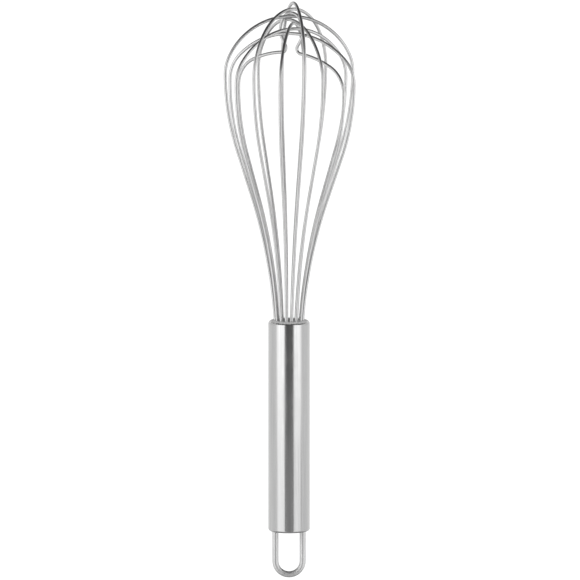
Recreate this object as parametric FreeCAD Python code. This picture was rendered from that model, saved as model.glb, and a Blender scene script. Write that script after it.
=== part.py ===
import FreeCAD, Part
import math
import os

# Balloon whisk in millimetres. +Z runs up the handle's axis, from the hanging loop to the wire head.
# The origin is on that axis, at the middle of the hanging loop's bend. The loop lies in the XZ plane.

# Handle
handle_length = 110.0
handle_diameter = 21.4
tube_wall = 0.8
mouth_bend_radius = 1.9
mouth_lip_flat = 0.4
base_bend_radius = 1.3
base_lip_flat = 0.3

# Wire head
wire_diameter = 1.7
leg_clearance = 0.35
leg_depth = 26.0
neck_lean = 5.0
neck_bend = 30.0
neck_bend_depth = 2.0
flare_start = 5.2
belly_radius = 33.7
crown_height = 164.6

# How far up from the mouth to its belly a leg turns outwards, and then straight up again
flare_corner_share = 0.283
belly_corner_share = 0.843

# Pieces inside the handle
plug_depth = 12.0
plug_clearance = 0.35
plug_bevel = 0.6
seal_depth = 6.0
seal_recess = 0.3
disc_thickness = 2.0
disc_above_leg_ends = 6.0

# Hanging loop and end cap
loop_wire_diameter = 3.2
loop_clearance = 0.45
loop_reach = 24.5
loop_leg_in_handle = 9.0
cap_floor = 1.0
cap_skirt_height = 6.0
cap_skirt_wall = 0.8

# The loops of wire, from the highest down. azimuth turns a loop's plane about Z, with its front leg at -Y.
# lean is its tilt towards +X at the mouth. gap is the clear space under the loop above, where they cross at
# the top. flattened is how much less than the belly's radius its crown rises over the belly. tightened is
# how much less than that rise its shoulder's radius is. In the clasp loop both shape a low saddle.
wire_loops = {
    "wire_loop_8": {"azimuth": 9.9, "lean": 1.0, "gap": 0.0, "flattened": 0.1, "tightened": 12.1},
    "wire_loop_7": {"azimuth": -33.3, "lean": 0.2, "gap": 1.35, "flattened": 2.1, "tightened": 10.6},
    "wire_loop_3": {"azimuth": 53.5, "lean": 0.5, "gap": 0.15, "flattened": 14.1, "tightened": 4.1},
    "wire_loop_6": {"azimuth": -77.0, "lean": 0.0, "gap": 0.1, "flattened": 4.7, "tightened": 8.4},
    "wire_loop_5": {"azimuth": 29.5, "lean": 0.35, "gap": 0.1, "flattened": 5.3, "tightened": 8.4},
    "wire_loop_4": {"azimuth": -10.4, "lean": 0.7, "gap": 0.15, "flattened": 6.1, "tightened": 8.1},
    "wire_loop_2": {"azimuth": -57.0, "lean": 0.5, "gap": 1.15, "flattened": 7.1, "tightened": 7.6},
    "wire_loop_1": {"azimuth": 71.5, "lean": 0.7, "gap": 0.7, "flattened": 8.5, "tightened": 6.6},
}
clasp_loop = "wire_loop_3"

# The clasp loop turns up out of its saddle, near the axis, into a bulb round the crowns that cross in it.
# The bulb is widest a little above the lowest of those crowns.
bulb_widest_above_crown = 0.4
bulb_half_width = 7.3
bulb_lower_bend = 4.0
bulb_top_bend = 6.3
clasp_neck_half_gap = 3.5
clasp_neck_bend = 2.4
saddle_under_bulb = 10.2

handle_radius = handle_diameter / 2
bore_radius = handle_radius - tube_wall
mouth_radius = handle_radius - mouth_bend_radius - mouth_lip_flat
base_opening_radius = handle_radius - base_bend_radius - base_lip_flat
wire_radius = wire_diameter / 2
leg_ring_radius = mouth_radius - leg_clearance - wire_radius
loop_wire_radius = loop_wire_diameter / 2
loop_bend_radius = base_opening_radius - loop_clearance - loop_wire_radius
handle_base = loop_reach - loop_bend_radius - loop_wire_radius
handle_top = handle_base + handle_length
highest_crown = handle_top + crown_height
leg_end_height = handle_top - leg_depth
plug_radius = leg_ring_radius - wire_radius - plug_clearance

up = FreeCAD.Vector(0, 0, 1)


def cylinder(radius, bottom, top):
    return Part.makeCylinder(radius, top - bottom, FreeCAD.Vector(0, 0, bottom), up)


# A wire's path is a list of runs in the loop's own plane. A point there is (distance out from the axis,
# height), and a run is its first point, its last point and, for an arc, a point between them.


def line(start, end):
    return (start, end)


def arc(center, radius, start_angle, end_angle):
    """An arc about center between two angles in degrees, measured from straight out towards up."""
    points = []
    for angle in (start_angle, (start_angle + end_angle) / 2, end_angle):
        turn = math.radians(angle)
        points.append((center[0] + radius * math.cos(turn), center[1] + radius * math.sin(turn)))
    return tuple(points)


def rounded(corner, reach, lean_in, lean_out):
    """The arc that rounds a corner between two runs, from reach before it. Leans are outwards from up."""
    radius = reach / math.tan(math.radians(abs(lean_out - lean_in)) / 2)
    turn = math.radians(lean_in)
    start = (corner[0] - reach * math.sin(turn), corner[1] - reach * math.cos(turn))
    if lean_out > lean_in:
        center = (start[0] + radius * math.cos(turn), start[1] - radius * math.sin(turn))
        return arc(center, radius, 180 - lean_in, 180 - lean_out)
    center = (start[0] - radius * math.cos(turn), start[1] + radius * math.sin(turn))
    return arc(center, radius, -lean_in, -lean_out)


def leg_runs(belly_height):
    """A leg, from its end inside the handle up to the belly of its loop."""
    neck_center = (leg_ring_radius + neck_bend, handle_top - neck_bend_depth)
    neck = arc(neck_center, neck_bend, 180, 180 - neck_lean)
    slope = math.tan(math.radians(neck_lean))
    head_height = belly_height - handle_top
    flare_height = handle_top + flare_corner_share * head_height
    flare_corner = (neck[-1][0] + slope * (flare_height - neck[-1][1]), flare_height)
    belly_corner = (belly_radius, handle_top + belly_corner_share * head_height)
    run = (belly_corner[0] - flare_corner[0], belly_corner[1] - flare_corner[1])
    lean = math.degrees(math.atan2(*run))
    flare_reach = (flare_height - handle_top - flare_start) * math.hypot(1, slope)
    flare = rounded(flare_corner, flare_reach, neck_lean, lean)
    belly = rounded(belly_corner, belly_height - belly_corner[1], lean, 0)
    in_handle = line((leg_ring_radius, leg_end_height), neck[0])
    return [in_handle, neck, line(neck[-1], flare[0]), flare, line(flare[-1], belly[0]), belly]


def other_bend(extent, other_extent, bend):
    """A quarter oval is two tangent arcs. Given the bend at the end of one extent, the bend at the other."""
    return ((extent - bend) ** 2 + other_extent**2 - bend**2) / (2 * (other_extent - bend))


def oval_quarter(widest, rise, side_bend, top_bend, last_angle=90):
    """The two arcs from the widest point of an oval, where it runs straight up, to its top on the axis."""
    side_center = (widest[0] - side_bend, widest[1])
    top_center = (0, widest[1] + rise - top_bend)
    sign = 1 if top_bend > side_bend else -1
    away = (sign * (side_center[0] - top_center[0]), sign * (side_center[1] - top_center[1]))
    join = math.degrees(math.atan2(away[1], away[0]))
    return [arc(side_center, side_bend, 0, join), arc(top_center, top_bend, join, last_angle)]


def crown_shape(loop):
    """The rise of a loop's crown over its belly, the radius of its shoulder and the radius at its top."""
    rise = belly_radius - loop["flattened"]
    shoulder = rise - loop["tightened"]
    return rise, shoulder, other_bend(belly_radius, rise, shoulder)


def plain_half(loop, crown):
    """Half of a plain loop, from the end of its leg to its crown on the axis."""
    rise, shoulder, top_bend = crown_shape(loop)
    belly = (belly_radius, crown - rise)
    return leg_runs(belly[1]) + oval_quarter(belly, rise, shoulder, top_bend)


def s_bend(start, bend, end, end_bend):
    """An outward bend, a straight run and an inward bend, between two points where the wire is upright."""
    center, end_center = (start[0] + bend, start[1]), (end[0] - end_bend, end[1])
    out, height = end_center[0] - center[0], end_center[1] - center[1]
    lean = math.degrees(math.atan2(out, height) + math.asin((bend + end_bend) / math.hypot(out, height)))
    outward, inward = arc(center, bend, 180, 180 - lean), arc(end_center, end_bend, -lean, 0)
    return [outward, line(outward[-1], inward[0]), inward]


def clasp_half(loop, crown, lowest_crown):
    """Half of the clasp loop, from the end of its leg over the saddle and up round the bulb to its crown."""
    widest = (bulb_half_width, lowest_crown + bulb_widest_above_crown)
    rise, shoulder, saddle_bend = crown_shape(loop)
    belly = (belly_radius, widest[1] - saddle_under_bulb - rise)
    saddle_center = (0, belly[1] + rise - saddle_bend)
    reach = saddle_bend + clasp_neck_bend
    turn_angle = math.degrees(math.acos((clasp_neck_half_gap + clasp_neck_bend) / reach))
    saddle = oval_quarter(belly, rise, shoulder, saddle_bend, turn_angle)
    turn_center = arc(saddle_center, reach, turn_angle, turn_angle)[0]
    turn_up = arc(turn_center, clasp_neck_bend, 180 + turn_angle, 180)
    neck = s_bend(turn_up[-1], clasp_neck_bend, widest, bulb_lower_bend)
    bulb_rise = crown - widest[1]
    side_bend = other_bend(bulb_rise, bulb_half_width, bulb_top_bend)
    bulb = oval_quarter(widest, bulb_rise, side_bend, bulb_top_bend)
    return leg_runs(belly[1]) + saddle + [turn_up] + neck + bulb


def wire_loop(half, azimuth, lean):
    """The whole loop, swept along its half path and that path's mirror image."""
    other_half = []
    for run in reversed(half):
        other_half.append(tuple((-out, height) for out, height in reversed(run)))
    turn = math.radians(azimuth)
    edges = []
    for run in half + other_half:
        points = [FreeCAD.Vector(out * math.sin(turn), -out * math.cos(turn), z) for out, z in run]
        curve = Part.LineSegment(*points) if len(points) == 2 else Part.Arc(*points)
        edges.append(curve.toShape())
    path = Part.Wire(edges)
    section = Part.Wire([Part.makeCircle(wire_radius, edges[0].valueAt(0), up)])
    solid = path.makePipeShell([section], True, True)
    expected = math.pi * wire_radius**2 * path.Length
    assert abs(solid.Volume - expected) < 0.005 * expected, "a wire's sweep has the wrong volume"
    return solid.rotate(FreeCAD.Vector(0, 0, handle_top), FreeCAD.Vector(0, 1, 0), lean)


def crown_heights():
    """The height of every crown's centreline where the loops cross at the top."""
    heights = {}
    height = highest_crown + wire_diameter
    for name, loop in wire_loops.items():
        height -= wire_diameter + loop["gap"]
        heights[name] = height
    return heights


def make_wire_loops():
    crowns = crown_heights()
    loops = {}
    for name, loop in wire_loops.items():
        if name == clasp_loop:
            half = clasp_half(loop, crowns[name], min(crowns.values()))
        else:
            half = plain_half(loop, crowns[name])
        loops[name] = wire_loop(half, loop["azimuth"], loop["lean"])
    return loops


def make_hanging_loop():
    """One wire bent into a U, with both legs running up into the handle."""
    leg_top = handle_base + loop_leg_in_handle
    side = loop_bend_radius
    left_top = FreeCAD.Vector(-side, 0, leg_top)
    left_bend = FreeCAD.Vector(-side, 0, 0)
    right_bend = FreeCAD.Vector(side, 0, 0)
    right_top = FreeCAD.Vector(side, 0, leg_top)
    edges = [
        Part.LineSegment(left_top, left_bend).toShape(),
        Part.Arc(left_bend, FreeCAD.Vector(0, 0, -side), right_bend).toShape(),
        Part.LineSegment(right_bend, right_top).toShape(),
    ]
    section = Part.Wire([Part.makeCircle(loop_wire_radius, left_top, up)])
    return Part.Wire(edges).makePipeShell([section], True, True)


def make_handle_tube():
    """A tube turned in at both ends: a round lip at the mouth and a short one at the base."""
    outer, inner = handle_radius, bore_radius
    top_start = handle_top - mouth_bend_radius
    base_start = handle_base + base_bend_radius
    top_center = (outer - mouth_bend_radius, top_start)
    base_center = (outer - base_bend_radius, base_start)
    top_inner_bend = mouth_bend_radius - tube_wall
    base_inner_bend = base_bend_radius - tube_wall
    mouth = arc(top_center, mouth_bend_radius, 0, 90)
    mouth_inside = arc(top_center, top_inner_bend, 90, 0)
    base = arc(base_center, base_bend_radius, -90, 0)
    base_inside = arc(base_center, base_inner_bend, 0, -90)
    lip_top = (mouth_radius, handle_top)
    lip_bottom = (mouth_radius, handle_top - tube_wall)
    opening_top = (base_opening_radius, handle_base + tube_wall)
    opening_bottom = (base_opening_radius, handle_base)
    outline = [
        line(base[-1], mouth[0]),
        mouth,
        line(mouth[-1], lip_top),
        line(lip_top, lip_bottom),
        line(lip_bottom, mouth_inside[0]),
        mouth_inside,
        line((inner, top_start), (inner, base_start)),
        base_inside,
        line(base_inside[-1], opening_top),
        line(opening_top, opening_bottom),
        line(opening_bottom, base[0]),
        base,
    ]
    edges = []
    for run in outline:
        points = [FreeCAD.Vector(out, 0, height) for out, height in run]
        curve = Part.LineSegment(*points) if len(points) == 2 else Part.Arc(*points)
        edges.append(curve.toShape())
    return Part.Face(Part.Wire(edges)).revolve(FreeCAD.Vector(0, 0, 0), up, 360)


def make_core_plug():
    """The plug that wedges the ring of legs apart, bevelled at both ends."""
    bottom = handle_top - plug_depth
    plug = cylinder(plug_radius, bottom, handle_top - seal_recess)
    round_edges = [edge for edge in plug.Edges if isinstance(edge.Curve, Part.Circle)]
    return plug.makeChamfer(plug_bevel, round_edges)


def make_mouth_seal(tube, plug, wires):
    """Resin that fills the mouth round the plug and every leg, a little below the lip's top."""
    under_lip = cylinder(bore_radius, handle_top - tube_wall - seal_depth, handle_top - tube_wall)
    in_mouth = cylinder(mouth_radius, handle_top - tube_wall, handle_top - seal_recess)
    return under_lip.fuse(in_mouth).cut([tube, plug, *wires]).removeSplitter()


def make_anchor_disc(wires):
    """The disc deep in the handle that holds every leg at its place in the ring."""
    bottom = leg_end_height + disc_above_leg_ends
    return cylinder(bore_radius, bottom, bottom + disc_thickness).cut(wires)


def make_end_cap(tube, hanging_loop):
    """A cup pressed into the base, with a hole for each leg of the hanging loop."""
    bottom = handle_base + tube_wall
    cup = cylinder(bore_radius, bottom, bottom + cap_skirt_height)
    inside = cylinder(bore_radius - cap_skirt_wall, bottom + cap_floor, bottom + cap_skirt_height)
    return cup.cut([inside, tube, hanging_loop])


def make_pieces():
    pieces = make_wire_loops()
    wires = list(pieces.values())
    pieces["handle_tube"] = make_handle_tube()
    pieces["hanging_loop"] = make_hanging_loop()
    pieces["core_plug"] = make_core_plug()
    pieces["mouth_seal"] = make_mouth_seal(pieces["handle_tube"], pieces["core_plug"], wires)
    pieces["anchor_disc"] = make_anchor_disc(wires)
    pieces["end_cap"] = make_end_cap(pieces["handle_tube"], pieces["hanging_loop"])
    return pieces


os.makedirs("parts", exist_ok=True)
for node, shape in sorted(make_pieces().items()):
    box = shape.BoundBox
    print(f"{node}: {len(shape.Solids)} solid, valid {shape.isValid()}, {shape.Volume:.1f} mm3,", end=" ")
    print(f"z {box.ZMin:.2f} to {box.ZMax:.2f}, {box.XLength:.2f} wide")
    shape.exportStep(f"parts/{node}.step")
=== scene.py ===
import bpy
import math
from mathutils import Matrix, Vector


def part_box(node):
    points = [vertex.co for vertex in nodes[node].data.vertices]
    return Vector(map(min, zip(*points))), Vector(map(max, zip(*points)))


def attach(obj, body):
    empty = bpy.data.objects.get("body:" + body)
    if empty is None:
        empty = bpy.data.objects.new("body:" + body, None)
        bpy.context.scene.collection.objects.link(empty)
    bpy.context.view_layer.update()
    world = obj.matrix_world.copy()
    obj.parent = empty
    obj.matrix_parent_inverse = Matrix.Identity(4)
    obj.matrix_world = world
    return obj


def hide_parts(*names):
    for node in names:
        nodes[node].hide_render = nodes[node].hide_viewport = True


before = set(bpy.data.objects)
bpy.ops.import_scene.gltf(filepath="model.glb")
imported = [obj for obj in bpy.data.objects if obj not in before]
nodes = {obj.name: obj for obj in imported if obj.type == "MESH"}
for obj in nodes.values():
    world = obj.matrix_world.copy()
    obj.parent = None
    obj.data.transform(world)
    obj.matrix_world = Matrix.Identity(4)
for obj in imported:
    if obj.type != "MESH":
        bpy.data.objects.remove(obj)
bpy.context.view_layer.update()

scene = bpy.context.scene
scene.view_settings.view_transform = "Standard"   # keeps the white room white
mm = 0.001

# the tube and the hanging loop say where everything else goes
tubeLow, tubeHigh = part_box("handle_tube")
loopLow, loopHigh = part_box("hanging_loop")
handleBase, handleTop, handleRadius = tubeLow.z / mm, tubeHigh.z / mm, tubeHigh.x / mm
bpy.ops.object.select_all(action="DESELECT")

# camera: straight in front of the whisk and a little above it
cameraSettings = {
    "distance": 8.0, "rise": 8.0, "lens": 962, "sensor": 36, "aim": (0.0005, 0.0, 0.1415),
    "nearest": 0.05, "farthest": 100,
}


def addCamera():
    rise = math.radians(cameraSettings["rise"])
    back = Vector((0, -math.cos(rise), math.sin(rise)))
    bpy.ops.object.camera_add(location=Vector(cameraSettings["aim"]) + back * cameraSettings["distance"])
    camera = bpy.context.object
    camera.name = "frontCamera"
    camera.rotation_euler = (math.radians(90 - cameraSettings["rise"]), 0, 0)
    camera.data.lens = cameraSettings["lens"]
    camera.data.sensor_width = cameraSettings["sensor"]
    camera.data.clip_start = cameraSettings["nearest"]
    camera.data.clip_end = cameraSettings["farthest"]
    scene.camera = camera
    print("camera ready")


# studio: a white floor and room, two tall soft lights, and the grey cards that draw dark bands in the metal.
# levels are a panel's glow at two heights, across is how the glow changes over its width
studioSettings = {
    "roomLight": 1.0,
    "floorDrop": 0.6,
    "floorSize": 60,
    "floorColour": (0.3, 0.3, 0.3, 1),
    "floorRoughness": 0.8,
    "floorGloss": 0.1,
    "floorGlow": 0.78,
}
panelSettings = {
    "frontCard": {"place": (0.007, -0.34, 0.0), "tilt": 90, "turn": 0, "size": (0.315, 1.6),
                  "levels": ((-0.04, 0.40), (0.10, 0.14)), "across": ((0.0, 1.0), (1.0, 1.0))},
    "leftLight": {"place": (-0.585, -0.469, -0.01), "tilt": 90, "turn": -51.3, "size": (0.75, 0.98),
                  "levels": ((-0.10, 1.75), (0.03, 2.2)), "across": ((0.0, 0.45), (0.3, 1.0), (1.0, 1.0))},
    "rightLight": {"place": (0.570, -0.487, -0.01), "tilt": 90, "turn": 49.5, "size": (0.71, 0.98),
                   "levels": ((-0.10, 1.45), (0.03, 2.05)), "across": ((0.0, 1.0), (0.75, 1.0), (1.0, 0.55))},
    "topCard": {"place": (0.1, 0.35, 0.95), "tilt": 0, "turn": 0, "size": (2.8, 2.3),
                "levels": ((0.0, 0.08), (1.0, 0.08)), "across": ((0.0, 1.0), (1.0, 1.0))},
    "lowCard": {"place": (0, 0.3, -0.6), "tilt": 0, "turn": 0, "size": (1.3, 1.1),
                "levels": ((0.0, 0.35), (1.0, 0.35)), "across": ((0.0, 1.0), (1.0, 1.0))},
    "backCard": {"place": (0, 1.2, 0.1), "tilt": 90, "turn": 180, "size": (0.85, 1.6),
                 "levels": ((0.0, 1.0), (1.0, 1.0)),
                 "across": ((0.0, 1.0), (0.35, 0.35), (0.65, 0.35), (1.0, 1.0))},
}


def newMaterial(name):
    material = bpy.data.materials.new(name)
    material.use_nodes = True
    return material, material.node_tree.nodes, material.node_tree.links


def addFloor():
    height = loopLow.z - studioSettings["floorDrop"]
    bpy.ops.mesh.primitive_plane_add(size=studioSettings["floorSize"], location=(0, 0, height))
    floor = bpy.context.object
    floor.name = "studioFloor"
    material, made = newMaterial("paleFloor")[:2]
    shader = made["Principled BSDF"]
    shader.inputs["Base Color"].default_value = studioSettings["floorColour"]
    shader.inputs["Roughness"].default_value = studioSettings["floorRoughness"]
    shader.inputs["Specular IOR Level"].default_value = studioSettings["floorGloss"]
    shader.inputs["Emission Color"].default_value = (1, 1, 1, 1)
    shader.inputs["Emission Strength"].default_value = studioSettings["floorGlow"]
    floor.data.materials.append(material)


def addRoomLight():
    world = bpy.data.worlds.new("whiteRoom")
    world.use_nodes = True
    background = world.node_tree.nodes["Background"]
    background.inputs["Color"].default_value = (1, 1, 1, 1)
    background.inputs["Strength"].default_value = studioSettings["roomLight"]
    scene.world = world


def panelGlow(name, panel):
    material, made, links = newMaterial(name + "Glow")
    made.remove(made["Principled BSDF"])
    glow = made.new("ShaderNodeEmission")
    place = made.new("ShaderNodeTexCoord")
    height = made.new("ShaderNodeSeparateXYZ")
    level = made.new("ShaderNodeMapRange")
    level.interpolation_type = "SMOOTHSTEP"
    (low, lowLevel), (high, highLevel) = panel["levels"]
    level.inputs["From Min"].default_value = low
    level.inputs["From Max"].default_value = high
    level.inputs["To Min"].default_value = lowLevel
    level.inputs["To Max"].default_value = highLevel
    side = made.new("ShaderNodeSeparateXYZ")
    across = made.new("ShaderNodeValToRGB")
    while len(across.color_ramp.elements) < len(panel["across"]):
        across.color_ramp.elements.new(0.5)
    for element, (position, share) in zip(across.color_ramp.elements, panel["across"]):
        element.position = position
        element.color = (share, share, share, 1)
    links.new(place.outputs["Object"], height.inputs["Vector"])
    links.new(height.outputs["Z"], level.inputs["Value"])
    links.new(place.outputs["UV"], side.inputs["Vector"])
    links.new(side.outputs["X"], across.inputs["Fac"])
    links.new(across.outputs["Color"], glow.inputs["Color"])
    links.new(level.outputs["Result"], glow.inputs["Strength"])
    links.new(glow.outputs["Emission"], made["Material Output"].inputs["Surface"])
    return material


def addPanel(name, panel):
    turn = (math.radians(panel["tilt"]), 0, math.radians(panel["turn"]))
    bpy.ops.mesh.primitive_plane_add(size=1, location=panel["place"], rotation=turn)
    card = bpy.context.object
    card.name = name
    card.scale = (*panel["size"], 1)
    bpy.ops.object.transform_apply()
    card.data.materials.append(panelGlow(name, panel))
    card.visible_camera = False   # the metal sees it, the camera doesn't
    card.visible_diffuse = False
    card.visible_shadow = False


def addStudio():
    addFloor()
    addRoomLight()
    for name, panel in panelSettings.items():
        addPanel(name, panel)
    print("studio ready")


# shader groups that every finish shares
def newGroup(name, inputs, outputs):
    group = bpy.data.node_groups.new(name, "ShaderNodeTree")
    for label, kind, value in inputs:
        socket = group.interface.new_socket(label, in_out="INPUT", socket_type=kind)
        if value is not None:
            socket.default_value = value
    for label in outputs:
        group.interface.new_socket(label, in_out="OUTPUT", socket_type="NodeSocketFloat")
    entry = group.nodes.new("NodeGroupInput")
    leave = group.nodes.new("NodeGroupOutput")
    return group, entry.outputs, leave.inputs


def noiseIn(group, place, scale, detail):
    noise = group.nodes.new("ShaderNodeTexNoise")
    noise.inputs["Detail"].default_value = detail
    group.links.new(place, noise.inputs["Vector"])
    if isinstance(scale, (int, float)):
        noise.inputs["Scale"].default_value = scale
    else:
        group.links.new(scale, noise.inputs["Scale"])
    return noise.outputs["Fac"]


def rangeIn(group, value, fromMin, fromMax, toMin=0.0, toMax=1.0):
    spread = group.nodes.new("ShaderNodeMapRange")
    spread.interpolation_type = "SMOOTHSTEP"
    spread.inputs["From Min"].default_value = fromMin
    spread.inputs["From Max"].default_value = fromMax
    spread.inputs["To Min"].default_value = toMin
    spread.inputs["To Max"].default_value = toMax
    group.links.new(value, spread.inputs["Value"])
    return spread.outputs["Result"]


def stretchIn(group, place, scale):
    stretch = group.nodes.new("ShaderNodeVectorMath")
    stretch.operation = "MULTIPLY"
    group.links.new(place, stretch.inputs[0])
    if isinstance(scale, tuple):
        stretch.inputs[1].default_value = scale
    else:
        group.links.new(scale, stretch.inputs[1])
    return stretch.outputs["Vector"]


def mathIn(group, operation, first, second):
    node = group.nodes.new("ShaderNodeMath")
    node.operation = operation
    for socket, value in zip(node.inputs, (first, second)):
        if isinstance(value, (int, float)):
            socket.default_value = value
        else:
            group.links.new(value, socket)
    return node.outputs["Value"]


# brushed lines along a piece: fine and coarse noise, drawn out by the stretch
brushingSettings = {
    "fineDetail": 3, "coarseDetail": 2, "coarseScale": 0.22, "fineShare": 0.6, "coarseShare": 0.4,
    "lines": (0.3, 0.7), "bands": (0.35, 0.65),
}


def makeBrushingGroup():
    brush = brushingSettings
    inputs = [
        ("Place", "NodeSocketVector", None),
        ("Stretch", "NodeSocketVector", None),
        ("Scale", "NodeSocketFloat", None),
    ]
    group, given, result = newGroup("brushing", inputs, ["Lines", "Bands"])
    along = stretchIn(group, given["Place"], given["Stretch"])
    fine = noiseIn(group, along, given["Scale"], brush["fineDetail"])
    coarseScale = mathIn(group, "MULTIPLY", given["Scale"], brush["coarseScale"])
    coarse = noiseIn(group, along, coarseScale, brush["coarseDetail"])
    fineShare = mathIn(group, "MULTIPLY", fine, brush["fineShare"])
    coarseShare = mathIn(group, "MULTIPLY", coarse, brush["coarseShare"])
    both = mathIn(group, "ADD", fineShare, coarseShare)
    group.links.new(rangeIn(group, both, *brush["lines"]), result["Lines"])
    group.links.new(rangeIn(group, coarse, *brush["bands"]), result["Bands"])
    return group


# marks of use: finger smudges, and hair scratches that come in patches
handlingSettings = {
    "smudgeScale": 60.0, "smudgeDetail": 5, "smudges": (0.42, 0.72),
    "scratchScale": 500.0, "scratchDetail": 2, "scratchStretch": (1.0, 1.0, 0.12), "scratchWidth": 0.006,
    "patchScale": 2.5, "patchDetail": 1, "patches": (0.55, 0.7),
}


def makeHandlingGroup():
    marks = handlingSettings
    inputs = [
        ("Place", "NodeSocketVector", None),
        ("Smudge Scale", "NodeSocketFloat", marks["smudgeScale"]),
        ("Scratch Scale", "NodeSocketFloat", marks["scratchScale"]),
    ]
    group, given, result = newGroup("handling", inputs, ["Smudge", "Scratch"])
    smudge = noiseIn(group, given["Place"], given["Smudge Scale"], marks["smudgeDetail"])
    group.links.new(rangeIn(group, smudge, *marks["smudges"]), result["Smudge"])
    leaning = stretchIn(group, given["Place"], marks["scratchStretch"])
    hair = noiseIn(group, leaning, given["Scratch Scale"], marks["scratchDetail"])
    middle = mathIn(group, "SUBTRACT", hair, 0.5)   # a hair scratch lies where the noise is halfway
    thin = mathIn(group, "ABSOLUTE", middle, 0.0)
    line = rangeIn(group, thin, 0.0, marks["scratchWidth"], 1.0, 0.0)
    patchScale = mathIn(group, "MULTIPLY", given["Smudge Scale"], marks["patchScale"])
    patchNoise = noiseIn(group, given["Place"], patchScale, marks["patchDetail"])
    patches = rangeIn(group, patchNoise, *marks["patches"])
    group.links.new(mathIn(group, "MULTIPLY", line, patches), result["Scratch"])
    return group


# how far the ground ends of the tube reach, with a ragged border: the mouth mask carries the satin finish and
# a painted highlight, the base mask carries painted shade
endSatinAndPaintedLightSettings = {"reach": 0.00125, "raggedScale": 1100.0, "raggedDetail": 3, "border": (-0.3, 0.5)}


def makeEndSatinAndPaintedLightGroup():
    ends = endSatinAndPaintedLightSettings
    inputs = [
        ("Place", "NodeSocketVector", None),
        ("Low", "NodeSocketFloat", None),
        ("High", "NodeSocketFloat", None),
        ("Reach", "NodeSocketFloat", ends["reach"]),
    ]
    group, given, result = newGroup("endSatinAndPaintedLight", inputs, ["Base", "Mouth"])
    split = group.nodes.new("ShaderNodeSeparateXYZ")
    group.links.new(given["Place"], split.inputs["Vector"])
    unevenness = noiseIn(group, given["Place"], ends["raggedScale"], ends["raggedDetail"])
    ragged = mathIn(group, "MULTIPLY", unevenness, given["Reach"])
    fromLow = mathIn(group, "SUBTRACT", split.outputs["Z"], given["Low"])
    fromHigh = mathIn(group, "SUBTRACT", given["High"], split.outputs["Z"])
    for label, distance in (("Base", fromLow), ("Mouth", fromHigh)):
        share = mathIn(group, "DIVIDE", mathIn(group, "SUBTRACT", distance, ragged), given["Reach"])
        group.links.new(rangeIn(group, share, *ends["border"], 1.0, 0.0), result[label])
    return group


brushing = makeBrushingGroup()
handling = makeHandlingGroup()
endSatinAndPaintedLight = makeEndSatinAndPaintedLightGroup()


def placeGroup(material, group, place, values):
    node = material.node_tree.nodes.new("ShaderNodeGroup")
    node.node_tree = group
    material.node_tree.links.new(place, node.inputs["Place"])
    for label, value in values.items():
        node.inputs[label].default_value = value
    return node.outputs


# the sockets are taken by number, because a mix node has several of the same name
def mixColour(tree, share, first, second):
    mix = tree.nodes.new("ShaderNodeMix")
    mix.data_type = "RGBA"
    factor, colourA, colourB = mix.inputs[0], mix.inputs[6], mix.inputs[7]
    for socket, value in ((factor, share), (colourA, first), (colourB, second)):
        if isinstance(value, (int, float, tuple)):
            socket.default_value = value
        else:
            tree.links.new(value, socket)
    return mix.outputs[2]


# colours are the steel's own, except the pale, less metallic lip, a painted highlight, and the dark foot,
# painted shade; scale and stretch belong to the brushing, relief and depth to its bump
finishes = {
    "brushedTube": {
        "map": "Object", "stretch": (1, 1, 0.012), "scale": 2600.0,
        "pale": (0.485, 0.485, 0.485, 1), "deep": (0.40, 0.40, 0.402, 1),
        "smudge": (0.43, 0.428, 0.424, 1), "polish": (0.56, 0.56, 0.56, 1),
        "roughness": (0.13, 0.21), "smudgeRoughness": 0.06, "relief": 0.35, "depth": 0.000004,
        # the pale, less metallic mouth is a painted highlight; the dark foot colour is painted shade on the
        # base bend
        "lip": (0.60, 0.60, 0.60, 1), "footShade": (0.40, 0.40, 0.40, 1), "lipRoughness": 0.45, "lipMetal": 0.25,
    },
    "springWire": {
        "map": "UV", "stretch": (14, 0.5, 1), "scale": 1.0,
        "pale": (0.60, 0.60, 0.60, 1), "deep": (0.50, 0.50, 0.502, 1),
        "smudge": (0.51, 0.508, 0.504, 1), "polish": (0.62, 0.62, 0.62, 1),
        "roughness": (0.32, 0.42), "smudgeRoughness": 0.05, "relief": 0.3, "depth": 0.000004,
    },
    "loopWire": {
        "map": "UV", "stretch": (18, 0.5, 1), "scale": 1.0,
        "pale": (0.60, 0.60, 0.60, 1), "deep": (0.50, 0.50, 0.502, 1),
        "smudge": (0.51, 0.508, 0.504, 1), "polish": (0.64, 0.64, 0.64, 1),
        "roughness": (0.42, 0.52), "smudgeRoughness": 0.05, "relief": 0.3, "depth": 0.000005,
    },
    "capSteel": {
        "map": "Object", "stretch": (1, 0.03, 1), "scale": 2400.0,
        "pale": (0.48, 0.48, 0.48, 1), "deep": (0.38, 0.38, 0.382, 1),
        "smudge": (0.36, 0.355, 0.35, 1), "polish": (0.54, 0.54, 0.54, 1),
        "roughness": (0.26, 0.38), "smudgeRoughness": 0.08, "relief": 0.4, "depth": 0.000008,
    },
}
# how strongly smudges and scratches show, and how much smoother a scratch is
markShares = {"smudge": 0.5, "scratch": 0.6, "scratchPolish": 0.04}


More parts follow.
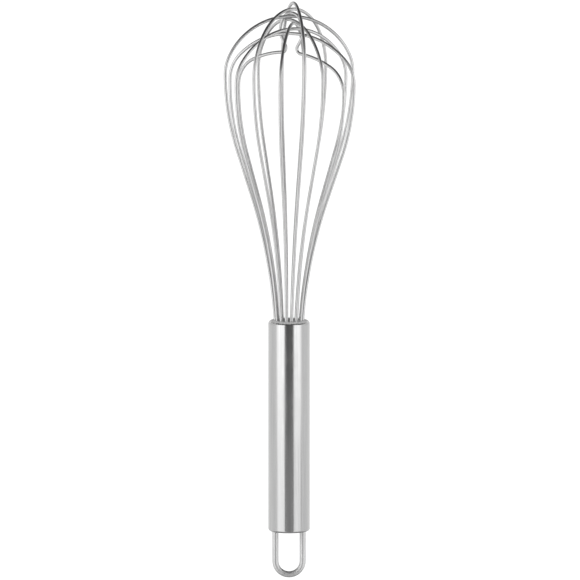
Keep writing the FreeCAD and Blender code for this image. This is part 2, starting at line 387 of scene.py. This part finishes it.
def steelFinish(name):
    finish = finishes[name]
    material, made, links = newMaterial(name)
    tree = material.node_tree
    shader = made["Principled BSDF"]
    if "lip" not in finish:
        shader.inputs["Metallic"].default_value = 1.0
    coordinates = made.new("ShaderNodeTexCoord").outputs
    grainValues = {"Stretch": finish["stretch"], "Scale": finish["scale"]}
    grain = placeGroup(material, brushing, coordinates[finish["map"]], grainValues)
    marks = placeGroup(material, handling, coordinates["Object"], {})
    steel = mixColour(tree, grain["Lines"], finish["deep"], finish["pale"])
    smudged = mathIn(tree, "MULTIPLY", marks["Smudge"], markShares["smudge"])
    touched = mixColour(tree, smudged, steel, finish["smudge"])
    wear = mathIn(tree, "MULTIPLY", marks["Scratch"], markShares["scratch"])
    colour = mixColour(tree, wear, touched, finish["polish"])
    smooth, coarse = finish["roughness"]
    base = rangeIn(tree, grain["Bands"], 0.0, 1.0, smooth, coarse)
    dulled = mathIn(tree, "MULTIPLY", marks["Smudge"], finish["smudgeRoughness"])
    handled = mathIn(tree, "ADD", base, dulled)
    polished = mathIn(tree, "MULTIPLY", wear, markShares["scratchPolish"])
    rough = mathIn(tree, "SUBTRACT", handled, polished)
    if "lip" in finish:
        # the bent-in ends are ground satin; the mouth is also painted pale and less metallic as a painted
        # highlight, and the base bend is painted darker as painted shade
        ends = placeGroup(material, endSatinAndPaintedLight, coordinates["Object"], {"Low": tubeLow.z, "High": tubeHigh.z})
        colour = mixColour(tree, ends["Mouth"], colour, finish["lip"])
        colour = mixColour(tree, ends["Base"], colour, finish["footShade"])
        satin = mathIn(tree, "MULTIPLY", ends["Mouth"], finish["lipRoughness"])
        rough = mathIn(tree, "MAXIMUM", rough, satin)
        metal = rangeIn(tree, ends["Mouth"], 0.0, 1.0, 1.0, finish["lipMetal"])
        links.new(metal, shader.inputs["Metallic"])
    links.new(colour, shader.inputs["Base Color"])
    links.new(rough, shader.inputs["Roughness"])
    bump = made.new("ShaderNodeBump")
    bump.inputs["Strength"].default_value = finish["relief"]
    bump.inputs["Distance"].default_value = finish["depth"]
    links.new(mathIn(tree, "SUBTRACT", grain["Lines"], marks["Scratch"]), bump.inputs["Height"])
    links.new(bump.outputs["Normal"], shader.inputs["Normal"])
    return material


resinSettings = {
    "deep": (0.48, 0.48, 0.482, 1), "pale": (0.66, 0.658, 0.655, 1), "roughness": (0.28, 0.5),
    "cloudScale": 420.0, "cloudDetail": 4, "clouds": (0.3, 0.7),
    "rippleScale": 1500.0, "rippleDetail": 3, "relief": 0.5, "depth": 0.00003,
}


def resinFinish():
    resin = resinSettings
    material, made, links = newMaterial("sealResin")
    tree = material.node_tree
    shader = made["Principled BSDF"]
    place = made.new("ShaderNodeTexCoord").outputs["Object"]
    cloud = noiseIn(tree, place, resin["cloudScale"], resin["cloudDetail"])
    links.new(mixColour(tree, cloud, resin["deep"], resin["pale"]), shader.inputs["Base Color"])
    rough = rangeIn(tree, cloud, *resin["clouds"], *resin["roughness"])
    links.new(rough, shader.inputs["Roughness"])
    bump = made.new("ShaderNodeBump")
    bump.inputs["Strength"].default_value = resin["relief"]
    bump.inputs["Distance"].default_value = resin["depth"]
    ripple = noiseIn(tree, place, resin["rippleScale"], resin["rippleDetail"])
    links.new(ripple, bump.inputs["Height"])
    links.new(bump.outputs["Normal"], shader.inputs["Normal"])
    return material


materials = {name: steelFinish(name) for name in finishes}
materials["sealResin"] = resinFinish()
print("finishes ready")


# wires: a ring of edges pushed along straight runs and spun round every bend, in the plane of the loop.
# lengths are in millimetres; a point is (out from the axis, height)
bendStep = 7   # degrees, the widest turn between two rings
wireSmooth = 50   # degrees, edges flatter than this are shaded smooth
wireSettings = {
    "radius": 0.848,   # a hair under the wire, so the mesh stays inside the solid's size
    "sides": 20, "step": 1.5,
    "ringRadius": 7.2, "legDepth": 26.0, "neckLean": 5.0, "neckBend": 30.0, "neckBendDepth": 2.0,
    "flareStart": 5.2, "flareShare": 0.283, "bellyShare": 0.843, "bellyRadius": 33.7, "crownHeight": 164.6,
}
# loops from the highest down, in degrees and millimetres: azimuth turns a loop about the handle's axis, lean
# tilts it at the mouth, gap is the space under the loop above, flattened and tightened shape its crown
loopSettings = {
    "wire_loop_8": {"azimuth": 9.9, "lean": 1.0, "gap": 0.0, "flattened": 0.1, "tightened": 12.1},
    "wire_loop_7": {"azimuth": -33.3, "lean": 0.2, "gap": 1.35, "flattened": 2.1, "tightened": 10.6},
    "wire_loop_3": {"azimuth": 53.5, "lean": 0.5, "gap": 0.15, "flattened": 14.1, "tightened": 4.1},
    "wire_loop_6": {"azimuth": -77.0, "lean": 0.0, "gap": 0.1, "flattened": 4.7, "tightened": 8.4},
    "wire_loop_5": {"azimuth": 29.5, "lean": 0.35, "gap": 0.1, "flattened": 5.3, "tightened": 8.4},
    "wire_loop_4": {"azimuth": -10.4, "lean": 0.7, "gap": 0.15, "flattened": 6.1, "tightened": 8.1},
    "wire_loop_2": {"azimuth": -57.0, "lean": 0.5, "gap": 1.15, "flattened": 7.1, "tightened": 7.6},
    "wire_loop_1": {"azimuth": 71.5, "lean": 0.7, "gap": 0.7, "flattened": 8.5, "tightened": 6.6},
}
claspSettings = {
    "loop": "wire_loop_3", "widestAboveCrown": 0.4, "halfWidth": 7.3, "lowerBend": 4.0, "topBend": 6.3,
    "neckHalfGap": 3.5, "neckBend": 2.4, "saddleUnderBulb": 10.2,
}


def onCircle(center, radius, angle):
    turn = math.radians(angle)
    return center[0] + radius * math.cos(turn), center[1] + radius * math.sin(turn)


def bend(center, radius, first, last):
    return {"center": center, "radius": radius, "first": first, "last": last,
            "from": onCircle(center, radius, first), "to": onCircle(center, radius, last)}


def straight(start, end):
    return {"from": start, "to": end}


def mirrored(run):
    start, end = (-run["to"][0], run["to"][1]), (-run["from"][0], run["from"][1])
    if "center" not in run:
        return straight(start, end)
    return bend((-run["center"][0], run["center"][1]), run["radius"], 180 - run["last"], 180 - run["first"])


def cornerBend(corner, reach, leanIn, leanOut):
    radius = reach / math.tan(math.radians(abs(leanOut - leanIn)) / 2)
    turn = math.radians(leanIn)
    start = (corner[0] - reach * math.sin(turn), corner[1] - reach * math.cos(turn))
    side = 1 if leanOut > leanIn else -1
    center = (start[0] + side * radius * math.cos(turn), start[1] - side * radius * math.sin(turn))
    if side > 0:
        return bend(center, radius, 180 - leanIn, 180 - leanOut)
    return bend(center, radius, -leanIn, -leanOut)


def legRuns(bellyHeight):
    wires = wireSettings
    neckCenter = (wires["ringRadius"] + wires["neckBend"], handleTop - wires["neckBendDepth"])
    neck = bend(neckCenter, wires["neckBend"], 180, 180 - wires["neckLean"])
    slope = math.tan(math.radians(wires["neckLean"]))
    head = bellyHeight - handleTop
    flareHeight = handleTop + wires["flareShare"] * head
    flareCorner = (neck["to"][0] + slope * (flareHeight - neck["to"][1]), flareHeight)
    bellyCorner = (wires["bellyRadius"], handleTop + wires["bellyShare"] * head)
    lean = math.degrees(math.atan2(bellyCorner[0] - flareCorner[0], bellyCorner[1] - flareCorner[1]))
    flareReach = (flareHeight - handleTop - wires["flareStart"]) * math.hypot(1, slope)
    flare = cornerBend(flareCorner, flareReach, wires["neckLean"], lean)
    belly = cornerBend(bellyCorner, bellyHeight - bellyCorner[1], lean, 0)
    inHandle = straight((wires["ringRadius"], handleTop - wires["legDepth"]), neck["from"])
    upToFlare = straight(neck["to"], flare["from"])
    upToBelly = straight(flare["to"], belly["from"])
    return [inHandle, neck, upToFlare, flare, upToBelly, belly]


# the second radius of an oval quarter whose first bend is known
def otherBend(extent, otherExtent, radius):
    return ((extent - radius) ** 2 + otherExtent ** 2 - radius ** 2) / (2 * (otherExtent - radius))


def ovalQuarter(widest, rise, sideBend, topBend, lastAngle=90):
    sideCenter = (widest[0] - sideBend, widest[1])
    topCenter = (0, widest[1] + rise - topBend)
    sign = 1 if topBend > sideBend else -1
    across = sign * (sideCenter[0] - topCenter[0])
    up = sign * (sideCenter[1] - topCenter[1])
    join = math.degrees(math.atan2(up, across))
    return [bend(sideCenter, sideBend, 0, join), bend(topCenter, topBend, join, lastAngle)]


def crownShape(loop):
    rise = wireSettings["bellyRadius"] - loop["flattened"]
    shoulder = rise - loop["tightened"]
    return rise, shoulder, otherBend(wireSettings["bellyRadius"], rise, shoulder)


def plainHalf(loop, crown):
    rise, shoulder, topBend = crownShape(loop)
    belly = (wireSettings["bellyRadius"], crown - rise)
    return legRuns(belly[1]) + ovalQuarter(belly, rise, shoulder, topBend)


def claspHalf(loop, crown, lowestCrown):
    clasp = claspSettings
    widest = (clasp["halfWidth"], lowestCrown + clasp["widestAboveCrown"])
    rise, shoulder, saddleBend = crownShape(loop)
    belly = (wireSettings["bellyRadius"], widest[1] - clasp["saddleUnderBulb"] - rise)
    saddleCenter = (0, belly[1] + rise - saddleBend)
    reach = saddleBend + clasp["neckBend"]
    turn = math.degrees(math.acos((clasp["neckHalfGap"] + clasp["neckBend"]) / reach))
    saddle = ovalQuarter(belly, rise, shoulder, saddleBend, turn)
    turnUp = bend(onCircle(saddleCenter, reach, turn), clasp["neckBend"], 180 + turn, 180)
    center = (turnUp["to"][0] + clasp["neckBend"], turnUp["to"][1])
    endCenter = (widest[0] - clasp["lowerBend"], widest[1])
    out, height = endCenter[0] - center[0], endCenter[1] - center[1]
    bends = clasp["neckBend"] + clasp["lowerBend"]
    lean = math.degrees(math.atan2(out, height) + math.asin(bends / math.hypot(out, height)))
    outward = bend(center, clasp["neckBend"], 180, 180 - lean)
    inward = bend(endCenter, clasp["lowerBend"], -lean, 0)
    bulbRise = crown - widest[1]
    sideBend = otherBend(bulbRise, widest[0], clasp["topBend"])
    bulb = ovalQuarter(widest, bulbRise, sideBend, clasp["topBend"])
    neck = [turnUp, outward, straight(outward["to"], inward["from"]), inward]
    return legRuns(belly[1]) + saddle + neck + bulb


def followRuns(name, runs, radius, sides, step):
    start = runs[0]["from"]
    place = (start[0] * mm, 0, start[1] * mm)
    bpy.ops.object.select_all(action="DESELECT")
    bpy.ops.mesh.primitive_circle_add(vertices=sides, radius=radius * mm, location=place)
    wire = bpy.context.object
    wire.name = name
    bpy.ops.object.mode_set(mode="EDIT")
    bpy.ops.mesh.select_all(action="SELECT")
    for run in runs:
        if "center" in run:
            turn = math.radians(run["last"] - run["first"])
            byLength = math.ceil(abs(turn) * run["radius"] / step)
            byTurn = math.ceil(abs(turn) / math.radians(bendStep))
            steps = max(2, byLength, byTurn)
            center = (run["center"][0] * mm, 0, run["center"][1] * mm)
            bpy.ops.mesh.spin(steps=steps, angle=turn, center=center, axis=(0, 1, 0))
        else:
            out, up = run["to"][0] - run["from"][0], run["to"][1] - run["from"][1]
            move = (out * mm, 0, up * mm)
            bpy.ops.mesh.extrude_edges_move(TRANSFORM_OT_translate={"value": move})
    bpy.ops.mesh.select_all(action="SELECT")
    bpy.ops.mesh.fill_holes(sides=0)
    bpy.ops.mesh.select_all(action="SELECT")
    bpy.ops.mesh.normals_make_consistent(inside=False)
    bpy.ops.object.mode_set(mode="OBJECT")
    unrollWire(wire, sides, radius)
    bpy.ops.object.shade_smooth_by_angle(angle=math.radians(wireSmooth))
    return wire


# the grain map runs round the wire in one direction and along it in the other
def unrollWire(wire, sides, radius):
    mesh = wire.data
    rings = len(mesh.vertices) // sides
    centres = []
    for ring in range(rings):
        total = Vector()
        for index in range(ring * sides, (ring + 1) * sides):
            total += mesh.vertices[index].co
        centres.append(total / sides)
    along = [0.0]
    for before, after in zip(centres, centres[1:]):
        along.append(along[-1] + (after - before).length / (2 * math.pi * radius * mm))
    layer = mesh.uv_layers.active or mesh.uv_layers.new(name="grainMap")
    for face in mesh.polygons:
        around = {mesh.loops[loop].vertex_index % sides for loop in face.loop_indices}
        onSeam = around == {0, sides - 1}
        for loop in face.loop_indices:
            ring, side = divmod(mesh.loops[loop].vertex_index, sides)
            layer.data[loop].uv = ((1.0 if onSeam and side == 0 else side / sides), along[ring])


def settle(piece, place, material, node):
    piece.matrix_world = place @ piece.matrix_world
    bpy.ops.object.select_all(action="DESELECT")
    piece.select_set(True)
    bpy.context.view_layer.objects.active = piece
    bpy.ops.object.transform_apply(location=True, rotation=True, scale=True)
    piece.data.materials.clear()
    piece.data.materials.append(material)
    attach(piece, "root")
    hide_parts(node)


def makeWireLoops():
    wires = wireSettings
    crowns = {}
    height = handleTop + wires["crownHeight"] + 2 * wires["radius"]
    for name, loop in loopSettings.items():
        height -= 2 * wires["radius"] + loop["gap"]
        crowns[name] = height
    mouth = Vector((0, 0, handleTop * mm))
    for name, loop in loopSettings.items():
        if name == claspSettings["loop"]:
            half = claspHalf(loop, crowns[name], min(crowns.values()))
        else:
            half = plainHalf(loop, crowns[name])
        runs = half + [mirrored(run) for run in reversed(half)]
        label = name.replace("wire_loop", "springWire")
        wire = followRuns(label, runs, wires["radius"], wires["sides"], wires["step"])
        lean = Matrix.Rotation(math.radians(loop["lean"]), 4, "Y")
        tip = Matrix.Translation(mouth) @ lean @ Matrix.Translation(-mouth)
        turn = Matrix.Rotation(math.radians(loop["azimuth"] - 90), 4, "Z")
        settle(wire, tip @ turn, materials["springWire"], name)
    print("wires bent")


hangingSettings = {"radius": 1.6, "sides": 32, "step": 0.6, "legInHandle": 9.0}


def makeHangingLoop():
    hanging = hangingSettings
    side = loopHigh.x / mm - hanging["radius"]
    legTop = handleBase + hanging["legInHandle"]
    rightLeg = straight((side, legTop), (side, 0))
    leftLeg = straight((-side, 0), (-side, legTop))
    runs = [rightLeg, bend((0, 0), side, 0, -180), leftLeg]
    loop = followRuns("hangingLoop", runs, hanging["radius"], hanging["sides"], hanging["step"])
    settle(loop, Matrix.Identity(4), materials["loopWire"], "hanging_loop")
    print("hanging loop bent")


# the handle tube and the resin are turned: a ring of edges drawn through a profile of (radius, height)
tubeSettings = {
    "wall": 0.8, "mouthBend": 1.9, "mouthFlat": 0.4, "baseBend": 1.3, "baseFlat": 0.3,
    "sides": 144, "bendSteps": 8,
}
turnedSmooth = 35   # degrees
weldDistance = 0.000002   # metres


def profileBend(center, radius, first, last, steps):
    points = []
    for count in range(steps + 1):
        points.append(onCircle(center, radius, first + (last - first) * count / steps))
    return points


def turned(name, profile, sides):
    firstRadius, firstHeight = profile[0]
    place = (0, 0, firstHeight * mm)
    bpy.ops.object.select_all(action="DESELECT")
    bpy.ops.mesh.primitive_circle_add(vertices=sides, radius=firstRadius * mm, location=place)
    piece = bpy.context.object
    piece.name = name
    bpy.ops.object.mode_set(mode="EDIT")
    bpy.ops.mesh.select_all(action="SELECT")
    for before, after in zip(profile, profile[1:] + profile[:1]):
        move = (0, 0, (after[1] - before[1]) * mm)
        bpy.ops.mesh.extrude_edges_move(TRANSFORM_OT_translate={"value": move})
        scale = after[0] / before[0]
        bpy.ops.transform.resize(value=(scale, scale, 1), center_override=(0, 0, after[1] * mm))
    bpy.ops.mesh.select_all(action="SELECT")
    bpy.ops.mesh.remove_doubles(threshold=weldDistance)
    bpy.ops.mesh.normals_make_consistent(inside=False)
    bpy.ops.object.mode_set(mode="OBJECT")
    bpy.ops.object.shade_smooth_by_angle(angle=math.radians(turnedSmooth))
    return piece


def makeHandleTube():
    sizes = tubeSettings
    outer, steps = handleRadius, sizes["bendSteps"]
    mouthCenter = (outer - sizes["mouthBend"], handleTop - sizes["mouthBend"])
    baseCenter = (outer - sizes["baseBend"], handleBase + sizes["baseBend"])
    mouthEdge = mouthCenter[0] - sizes["mouthFlat"]
    baseEdge = baseCenter[0] - sizes["baseFlat"]
    profile = [(baseEdge, handleBase)]
    profile += profileBend(baseCenter, sizes["baseBend"], -90, 0, steps)
    profile += profileBend(mouthCenter, sizes["mouthBend"], 0, 90, steps)
    profile += [(mouthEdge, handleTop), (mouthEdge, handleTop - sizes["wall"])]
    profile += profileBend(mouthCenter, sizes["mouthBend"] - sizes["wall"], 90, 0, steps)
    profile += profileBend(baseCenter, sizes["baseBend"] - sizes["wall"], 0, -90, steps)
    profile += [(baseEdge, handleBase + sizes["wall"])]
    tube = turned("handleTube", profile, sizes["sides"])
    settle(tube, Matrix.Identity(4), materials["brushedTube"], "handle_tube")
    print("handle turned")


sealSettings = {
    "recess": 0.3, "depth": 6.0, "plugRadius": 6.0, "sides": 288, "rings": 14,
    "creep": 0.5, "creepReach": 0.35, "flatWithin": 0.01,
}


def makeMouthSeal():
    resin, tube, wires = sealSettings, tubeSettings, wireSettings
    mouthEdge = handleRadius - tube["mouthBend"] - tube["mouthFlat"]
    top, bottom = handleTop - resin["recess"], handleTop - tube["wall"] - resin["depth"]
    bore = handleRadius - tube["wall"]
    profile = [(resin["plugRadius"], bottom)]
    for count in range(resin["rings"] + 1):
        outwards = (mouthEdge - resin["plugRadius"]) * count / resin["rings"]
        profile.append((resin["plugRadius"] + outwards, top))
    profile += [(mouthEdge, handleTop - tube["wall"]), (bore, handleTop - tube["wall"]), (bore, bottom)]
    seal = turned("mouthSeal", profile, resin["sides"])
    legs = []
    for loop in loopSettings.values():
        for azimuth in (loop["azimuth"], loop["azimuth"] + 180):
            turn = math.radians(azimuth)
            legs.append(Vector((math.sin(turn), -math.cos(turn))) * wires["ringRadius"])
    # the resin creeps a little up every leg
    for vertex in seal.data.vertices:
        height = seal.matrix_world.translation.z / mm + vertex.co.z / mm
        if abs(height - top) > resin["flatWithin"]:
            continue
        spot = Vector((vertex.co.x, vertex.co.y)) / mm
        gap = min((spot - leg).length - wires["radius"] for leg in legs)
        vertex.co.z += resin["creep"] * math.exp(-max(gap, 0) / resin["creepReach"]) * mm
    settle(seal, Matrix.Identity(4), materials["sealResin"], "mouth_seal")
    print("resin poured")


def finishHiddenPieces():
    for name in ("core_plug", "anchor_disc", "end_cap"):
        slots = nodes[name].data.materials
        for index in range(len(slots)):
            slots[index] = materials["capSteel"]
    print("inner pieces finished")


addCamera()
addStudio()
makeWireLoops()
makeHangingLoop()
makeHandleTube()
makeMouthSeal()
finishHiddenPieces()
